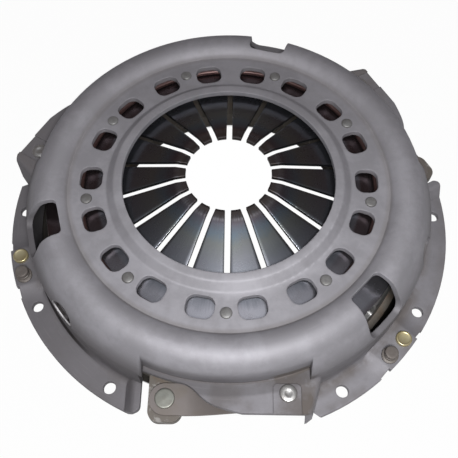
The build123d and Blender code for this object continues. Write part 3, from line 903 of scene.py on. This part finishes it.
class BuildStraps(Operator):
    """Build the three packs of drive-strap leaves"""

    bl_idname = "clutch.build_straps"
    bl_label = "Drive Straps"

    def execute(self, context):
        sizes = context.scene.clutch_straps
        rivets = context.scene.clutch_rivets
        for number, angle in enumerate(SECTORS, 1):
            made = bmesh.new()
            for level in range(3):
                strap_leaf(made, sizes, rivets, level)
            around = Matrix.Rotation(math.radians(angle), 4, "Z")
            bmesh.ops.transform(made, matrix=around, verts=made.verts)
            pack = object_from(f"strap_pack_{number}", made)
            pack.data.materials.append(finish_for("strap_steel"))
            pack.data.shade_smooth()
            pack.data.set_sharp_from_angle(angle=math.radians(38))
            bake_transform(pack)
            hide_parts(*[f"strap_{number}_leaf_{k}" for k in (3, 2, 1)])
        return {"FINISHED"}


def tab_rivet_profile(seat, under):
    """A button under the straps, a shank through straps and tab, and a head with a dished crown."""
    shank = 4.0
    profile = [(0, under - 2.5), (4.7, under - 2.5)] + arc((4.7, under - 1.5), 1.0, -90, 0, 4)
    profile += [(5.7, under), (shank, under), (shank, seat), (5.5, seat)]
    profile += arc((4.7, seat + 1.2), 1.0, 0, 70)
    return profile + [(3.6, seat + 2.42), (2.5, seat + 2.5), (2.1, seat + 2.35), (1.5, seat + 2.2),
                      (0, seat + 2.1)]


def lug_rivet_profile():
    """A sunk head in the lug, a shank and a wide flat head on the straps."""
    low, sunk, top, shank, head = 3.0, 5.2, 12.3, 4.0, 6.5
    profile = [(0, low), (head, low), (head, sunk), (shank, sunk), (shank, top)]
    profile += [(6.45, top), (6.6, top + 0.35)] + arc((6.05, top + 1.55), 0.55, 0, 80)
    return profile + [(5.2, top + 2.16), (2.4, top + 2.08), (1.9, top + 2.14), (0, top + 2.14)]


class BuildStrapRivets(Operator):
    """Build the rivets at both ends of the straps"""

    bl_idname = "clutch.build_strap_rivets"
    bl_label = "Strap Rivets"

    def execute(self, context):
        sizes = context.scene.clutch_rivets
        straps = context.scene.clutch_straps
        pack_under = (straps.tab_under - 3 * straps.leaf) / MM
        tab_rivet = lathe("tab_rivet", tab_rivet_profile(straps.tab_seat / MM, pack_under))
        ring_piece(tab_rivet, "tab_rivet_heads", "bright_rivet", COVER,
                   [f"tab_rivet_{k}" for k in (1, 2, 3)], radius=sizes.strap_distance, side=sizes.strap_half)
        lug_rivet = lathe("lug_rivet", lug_rivet_profile())
        ring_piece(lug_rivet, "lug_rivet_heads", "lug_rivet_steel", PLATE,
                   [f"lug_rivet_{k}" for k in (1, 2, 3)], radius=sizes.strap_distance, side=-sizes.strap_half)
        return {"FINISHED"}


def pad_shank(pad):
    """The closed end under a raised pad, and the shank up to the pad's top."""
    under, shank = 3.6, 3.0
    return [(0, under - 2.2), (4.4, under - 2.2), (4.8, under - 1.8), (4.8, under), (shank, under),
            (shank, pad)]


def zinc_rivet_profile(pad):
    """A low head with a faint hollow inside its rim."""
    profile = pad_shank(pad) + [(5.3, pad), (5.5, pad + 0.3), (5.5, pad + 2.0)]
    profile += arc((4.7, pad + 2.1), 0.8, 0, 90)
    return profile + [(4.3, pad + 2.9), (4.0, pad + 2.72), (3.7, pad + 2.66), (0, pad + 2.60)]


def stepped_rivet_profile(pad):
    """A collar with a groove, then a narrower head with a groove of its own and a flat top."""
    profile = pad_shank(pad) + [
        (5.6, pad), (5.7, pad + 0.2), (5.7, pad + 1.3), (5.25, pad + 1.55), (5.2, pad + 2.2),
        (5.6, pad + 2.4), (5.65, pad + 2.9), (5.3, pad + 3.05), (4.5, pad + 3.1), (4.45, pad + 4.6),
        (4.1, pad + 4.8), (4.1, pad + 5.4), (4.55, pad + 5.6), (4.6, pad + 7.8)]
    return profile + arc((3.8, pad + 7.8), 0.8, 0, 85) + [(2.0, pad + 8.55), (0, pad + 8.6)]


class BuildPadRivets(Operator):
    """Build the yellow and the dark stepped rivets on the raised pads"""

    bl_idname = "clutch.build_pad_rivets"
    bl_label = "Pad Rivets"

    def execute(self, context):
        sizes = context.scene.clutch_rivets
        pad, middle = 7.8, SECTORS[0] + PAD_TURN
        zinc_rivet = lathe("zinc_rivet", zinc_rivet_profile(pad))
        ring_piece(zinc_rivet, "balance_rivet_heads", "yellow_zinc", COVER,
                   [f"balance_rivet_{k}" for k in (1, 2, 3)], radius=sizes.pad_circle,
                   first=middle + PAIR_TURN, odd_copy=1, odd_turn=-2 * PAIR_TURN)
        stepped_rivet = lathe("dark_rivet", stepped_rivet_profile(pad))
        ring_piece(stepped_rivet, "balance_weight_bosses", "dark_rivet", COVER,
                   [f"balance_weight_{k}" for k in (1, 2, 3)], radius=sizes.pad_circle,
                   first=middle - PAIR_TURN, seed=8, odd_copy=1, odd_turn=2 * PAIR_TURN)
        return {"FINISHED"}


# Studio

CAMERA_PLACE = Vector((0.00497, -0.24645, 0.43948))
CAMERA_AIM = Vector((0.00084, -0.03964, 0.05350))
CAMERA_ROLL = math.radians(-0.286)
CAMERA_LENS = 50.82
SENSOR_WIDTH = 36.0
FLOOR_REACH = 4.0
FLOOR_HEIGHT = -0.0002
PAPER_GLOW = 0.965
PAPER_STRETCH = (0.98, 1.02, 1.0)
# Near black, a painted shadow in the ring under the cover's wall
RING_PAINTED_SHADOW = (0.02, 0.018, 0.016)

# Painted shadow on the paper under the cover's wall: radii where its inner and its outer edge start and end,
# and the glow at those radii
PAINTED_SHADOW_RING = ((0.088, 0.092, 1.2, 0.0), (0.1435, 0.1445, 0.0, 1.0))

# The light of the room by height, from level to straight overhead
ROOM = ((0.0, (0.58, 0.58, 0.60)), (0.16, (0.48, 0.48, 0.50)), (0.30, (0.05, 0.036, 0.032)),
        (0.62, (0.08, 0.048, 0.044)), (0.84, (0.06, 0.052, 0.056)), (0.93, (0.27, 0.28, 0.30)),
        (0.985, (0.92, 0.94, 1.0)))


def disk_light(name, place, aim, width, power):
    data = bpy.data.lights.new(name, "AREA")
    data.shape = "DISK"
    data.size = width
    data.energy = power
    lamp = bpy.data.objects.new(name, data)
    bpy.context.scene.collection.objects.link(lamp)
    lamp.location = place
    lamp.rotation_euler = (Vector(aim) - Vector(place)).to_track_quat("-Z", "Y").to_euler()


def add_camera(scene):
    data = bpy.data.cameras.new("photo_camera")
    data.sensor_width = SENSOR_WIDTH
    data.lens = CAMERA_LENS
    camera = bpy.data.objects.new("photo_camera", data)
    scene.collection.objects.link(camera)
    scene.camera = camera
    towards = (CAMERA_AIM - CAMERA_PLACE).to_track_quat("-Z", "Y").to_matrix().to_4x4()
    camera.matrix_world = Matrix.Translation(CAMERA_PLACE) @ towards @ Matrix.Rotation(CAMERA_ROLL, 4, "Z")


def seen_by_camera(tree):
    """1 on the camera's own rays, 0 on all others."""
    return add_node(tree, "ShaderNodeLightPath", output="Is Camera Ray")


def paper_shade(tree):
    """1 where the paper may glow; 0 in the ring under the cover's wall, which holds a painted shadow."""
    place = add_node(tree, "ShaderNodeTexCoord", output="Object")
    wider = add_node(tree, "ShaderNodeVectorMath", {0: place, 1: PAPER_STRETCH}, operation="MULTIPLY")
    size = add_node(tree, "ShaderNodeVectorMath", {0: wider}, output="Value", operation="LENGTH")
    inner, outer = [add_node(tree, "ShaderNodeMapRange", {
        "Value": size, "From Min": low, "From Max": high, "To Min": start, "To Max": end})
        for low, high, start, end in PAINTED_SHADOW_RING]
    return add_node(tree, "ShaderNodeMath", {0: inner, 1: outer}, operation="MAXIMUM")


def paper(tone):
    """Matt paper that glows white to the camera and throws only its own shade on the object; painted shadow
    under the wall.
    """
    material = bpy.data.materials.new("studio_paper")
    material.use_nodes = True
    tree = material.node_tree
    own = tree.nodes["Principled BSDF"]
    own.inputs["Roughness"].default_value = 0.9
    own.inputs["Specular IOR Level"].default_value = 0.1
    bare = paper_shade(tree)
    # Painted shadow: the paper turns near black in the ring under the cover's wall
    tint = add_node(tree, "ShaderNodeMix", {0: bare, 6: (*RING_PAINTED_SHADOW, 1), 7: (*tone, 1)}, output=2,
                    data_type="RGBA")
    tree.links.new(tint, own.inputs["Base Color"])
    glow = add_node(tree, "ShaderNodeEmission", {"Strength": 1.0})
    share = add_node(tree, "ShaderNodeMath", {0: seen_by_camera(tree), 1: PAPER_GLOW}, operation="MULTIPLY")
    lit = add_node(tree, "ShaderNodeMath", {0: share, 1: bare}, operation="MULTIPLY")
    both = add_node(tree, "ShaderNodeMixShader", {0: lit, 1: own.outputs[0], 2: glow})
    tree.links.new(both, tree.nodes["Material Output"].inputs["Surface"])
    return material


def add_floor(scene):
    mesh = bpy.data.meshes.new("studio_floor")
    signs = ((-1, -1), (1, -1), (1, 1), (-1, 1))
    corners = [(x * FLOOR_REACH, y * FLOOR_REACH, FLOOR_HEIGHT) for x, y in signs]
    mesh.from_pydata(corners, [], [(0, 1, 2, 3)])
    mesh.materials.append(paper(scene.clutch_finishes.floor))
    floor = bpy.data.objects.new("studio_floor", mesh)
    scene.collection.objects.link(floor)


def add_world(scene):
    """Light from overhead, over a dark, warm room with a pale band low down; plain white to the camera."""
    world = bpy.data.worlds.new("studio_world")
    scene.world = world
    world.use_nodes = True
    tree = world.node_tree
    place = add_node(tree, "ShaderNodeTexCoord", output="Generated")
    ramp = tree.nodes.new("ShaderNodeValToRGB")
    set_stops(ramp.color_ramp, ROOM)
    tree.links.new(add_node(tree, "ShaderNodeSeparateXYZ", {0: place}, output="Z"), ramp.inputs[0])
    back = tree.nodes["Background"]
    back.inputs["Strength"].default_value = 1.0
    tree.links.new(ramp.outputs[0], back.inputs["Color"])
    white = add_node(tree, "ShaderNodeBackground", {"Color": (1, 1, 1, 1), "Strength": 1.0})
    both = add_node(tree, "ShaderNodeMixShader", {0: seen_by_camera(tree), 1: back.outputs[0], 2: white})
    tree.links.new(both, tree.nodes["World Output"].inputs["Surface"])


class SetStage(Operator):
    """Set the camera, the floor, the world and the lamp"""

    bl_idname = "clutch.set_stage"
    bl_label = "Studio"

    def execute(self, context):
        scene = context.scene
        scene.view_settings.view_transform = "Standard"
        add_camera(scene)
        add_floor(scene)
        add_world(scene)
        disk_light("key_lamp", (0.04, -0.35, 0.57), (0, -0.02, 0.03), 0.16, 4.7)
        return {"FINISHED"}


class ClutchPanel(Panel):
    """The clutch's pieces, and the sizes and finishes they are built with"""

    bl_idname = "VIEW3D_PT_clutch"
    bl_label = "Clutch Pressure Plate"
    bl_space_type = "VIEW_3D"
    bl_region_type = "UI"
    bl_category = "Clutch"

    def draw(self, context):
        scene = context.scene
        for made in BUILDERS:
            self.layout.operator(made.bl_idname)
        for group in (scene.clutch_spring, scene.clutch_rivets, scene.clutch_straps, scene.clutch_finishes):
            box = self.layout.box()
            for key in group.bl_rna.properties.keys():
                if key not in ("rna_type", "name"):
                    box.prop(group, key)


GROUPS = (("clutch_spring", SpringSizes), ("clutch_rivets", RivetSizes), ("clutch_straps", StrapSizes),
          ("clutch_finishes", Finishes))
BUILDERS = (SetStage, DressCover, DressPlate, DressRings, BuildSpring, BuildFulcrumRivets, BuildStraps,
            BuildStrapRivets, BuildPadRivets)


def register():
    for name, group in GROUPS:
        bpy.utils.register_class(group)
        setattr(bpy.types.Scene, name, PointerProperty(type=group))
    for made in (*BUILDERS, ClutchPanel):
        bpy.utils.register_class(made)


def unregister():
    for made in reversed((*BUILDERS, ClutchPanel)):
        bpy.utils.unregister_class(made)
    for name, group in reversed(GROUPS):
        delattr(bpy.types.Scene, name)
        bpy.utils.unregister_class(group)


def main():
    register()
    for made in BUILDERS:
        group, _, action = made.bl_idname.partition(".")
        getattr(getattr(bpy.ops, group), action)()


if __name__ == "__main__":
    main()
